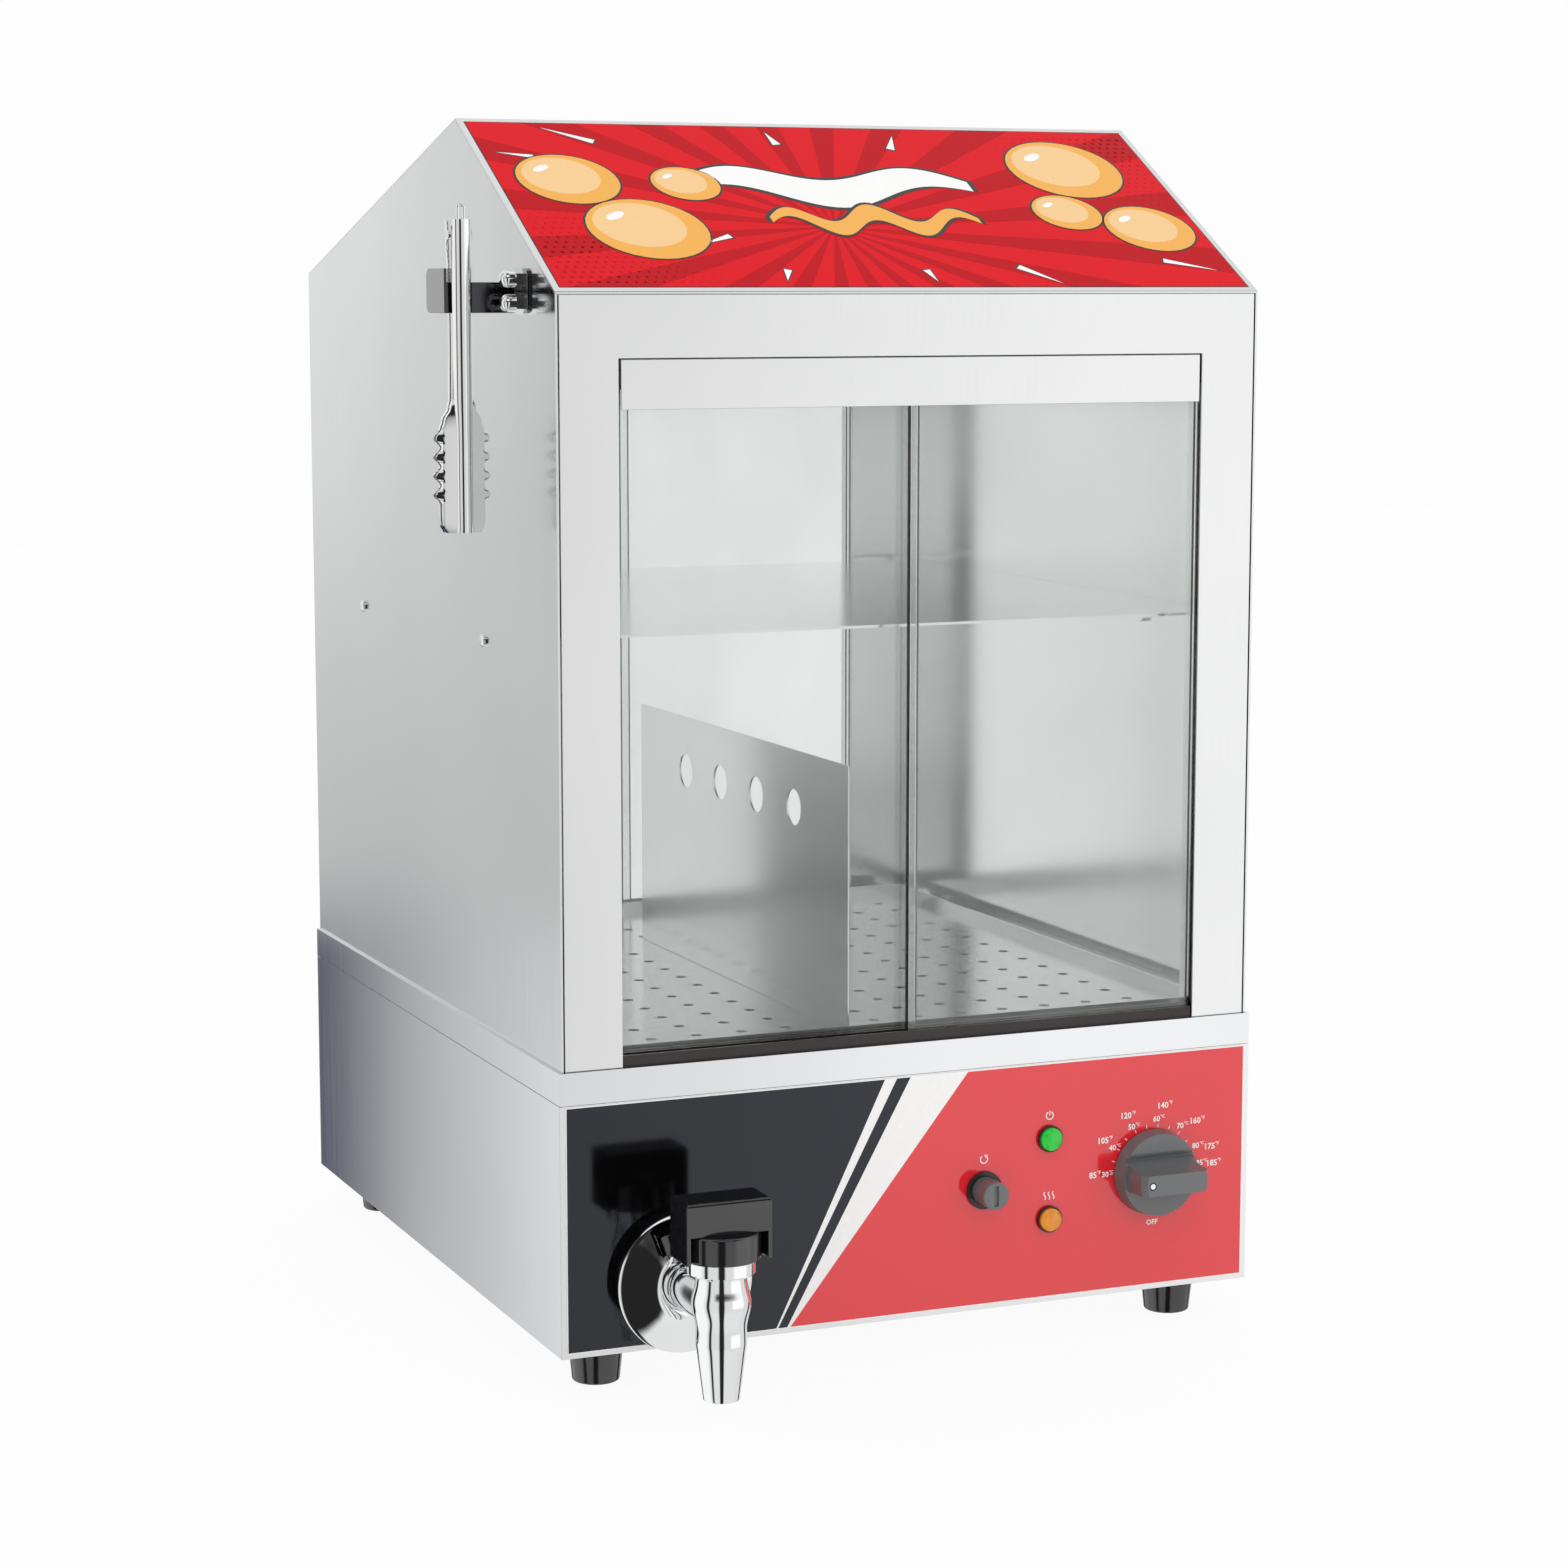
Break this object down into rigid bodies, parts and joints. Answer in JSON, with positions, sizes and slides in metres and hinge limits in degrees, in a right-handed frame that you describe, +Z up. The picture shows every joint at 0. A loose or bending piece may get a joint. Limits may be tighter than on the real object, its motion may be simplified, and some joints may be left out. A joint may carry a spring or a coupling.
{
  "type": "hot dog steamer",
  "caption": "Countertop hot dog steamer: gabled steel cabinet with sliding glass doors at front and back, heated water base with dial and drain tap, tongs hung on the side.",
  "frame": {"origin": "middle of the overall footprint, on the surface the feet stand on", "axes": "+Z up, -Y towards the front doors and the controls, +X to the right seen from the front"},
  "size_m": [0.4479, 0.5508, 0.66],
  "materials": {
    "painted_base": "smooth painted sheet, satin",
    "stainless": "brushed stainless sheet",
    "zinc": "zinc-plated steel",
    "polished": "polished stainless",
    "chrome": "bright chrome plate",
    "reset_metal": "black moulded bezel, satin",
    "steel_spring": "spring steel",
    "element": "matt stainless tube",
    "overlay": "printed film, black and red, smooth",
    "graphic": "printed film, red with yellow and white, glossy",
    "black_plastic": "black moulded plastic, satin",
    "inner_plastic": "dark moulded plastic",
    "green_lens": "clear green plastic lens",
    "amber_lens": "clear amber plastic lens",
    "black_rubber": "black rubber, matt",
    "silicone": "translucent silicone hose",
    "glass": "clear toughened glass"
  },
  "bodies": {
    "steamer": {"base_floor": "zinc", "base_front_panel": "painted_base", "base_rear_panel": "painted_base", "base_rim": "stainless", "base_side_panels": "painted_base", "bottom_tracks": "black_plastic", "bracket_nuts": "polished", "bun_shelf": "stainless", "cabinet_screws": "zinc", "cable_gland": "black_plastic", "control_overlay": "overlay", "door_headers": "stainless", "drain_hose": "silicone", "feet": "black_rubber", "foot_fasteners": "zinc", "front_frame": "stainless", "heating_element": "element", "heating_lens": "amber_lens", "hose_clamps": "zinc", "left_side_panel": "stainless", "limit_switch": "inner_plastic", "panel_nuts": "zinc", "pilot_lamps": "inner_plastic", "power_lens": "green_lens", "rear_frame": "stainless", "reset_ring": "reset_metal", "right_side_panel": "stainless", "roof_front_panel": "stainless", "roof_graphic_panel": "graphic", "roof_rear_panel": "stainless", "shelf_screws": "polished", "tap_body": "chrome", "tap_bonnet": "chrome", "tap_escutcheon": "chrome", "tap_spring": "steel_spring", "terminal_block": "inner_plastic", "thermostat_body": "inner_plastic", "thermostat_bulb": "element", "tongs_bracket": "stainless", "top_tracks": "black_plastic", "vent_cover": "stainless", "vent_screws": "zinc", "water_pan": "stainless"},
    "front_left_door": {"front_left_door": "glass"},
    "front_right_door": {"front_right_door": "glass"},
    "rear_left_door": {"rear_left_door": "glass"},
    "rear_right_door": {"rear_right_door": "glass"},
    "thermostat_dial": {"knob": "black_plastic", "thermostat_shaft": "zinc"},
    "reset_push": {"reset_button": "black_plastic"},
    "tap_plunger": {"tap_cap": "black_plastic", "tap_handle": "black_plastic", "tap_stem": "steel_spring"},
    "tongs": {"tongs_front_arm": "polished", "tongs_pin": "polished", "tongs_spring": "zinc"},
    "tongs_swing_arm": {"tongs_rear_arm": "polished"},
    "tongs_lock_ring": {"tongs_ring": "polished"},
    "tray": {"hot_dog_tray": "stainless"},
    "tray_divider": {"divider": "stainless"}
  },
  "joints": [
    {"name": "front_left_door_slide", "type": "slide", "parent": "steamer", "child": "front_left_door", "axis": [1, 0, 0], "range_m": [0, 0.161]},
    {"name": "front_right_door_slide", "type": "slide", "parent": "steamer", "child": "front_right_door", "axis": [1, 0, 0], "range_m": [-0.161, 0]},
    {"name": "rear_left_door_slide", "type": "slide", "parent": "steamer", "child": "rear_left_door", "axis": [1, 0, 0], "range_m": [0, 0.148]},
    {"name": "rear_right_door_slide", "type": "slide", "parent": "steamer", "child": "rear_right_door", "axis": [1, 0, 0], "range_m": [-0.148, 0]},
    {"name": "thermostat_turn", "type": "hinge", "parent": "steamer", "child": "thermostat_dial", "pos_m": [0.1642, -0.19635, 0.0896], "axis": [0, 1, 0], "range_deg": [-91, 174]},
    {"name": "reset_press", "type": "slide", "parent": "steamer", "child": "reset_push", "axis": [0, 1, 0], "range_m": [0, 0.003], "stiffness_N_per_m": 400},
    {"name": "tap_press", "type": "slide", "parent": "steamer", "child": "tap_plunger", "axis": [0, 0, -1], "range_m": [0, 0.005], "stiffness_N_per_m": 1200, "deforming": ["tap_spring"]},
    {"name": "tongs_lift", "type": "slide", "parent": "steamer", "child": "tongs", "axis": [0, 0, 1], "range_m": [0, 0.035]},
    {"name": "tongs_open", "type": "hinge", "parent": "tongs", "child": "tongs_swing_arm", "pos_m": [-0.2091, -0.1373, 0.597], "axis": [1, 0, 0], "range_deg": [0, 25]},
    {"name": "tongs_lock", "type": "slide", "parent": "tongs", "child": "tongs_lock_ring", "axis": [0, 0, 1], "range_m": [-0.006, 0]},
    {"name": "tray_lift", "type": "slide", "parent": "steamer", "child": "tray", "axis": [0, 0, 1], "range_m": [0, 0.03]},
    {"name": "divider_lift", "type": "slide", "parent": "tray", "child": "tray_divider", "axis": [0, 0, 1], "range_m": [0, 0.04]}
  ]
}
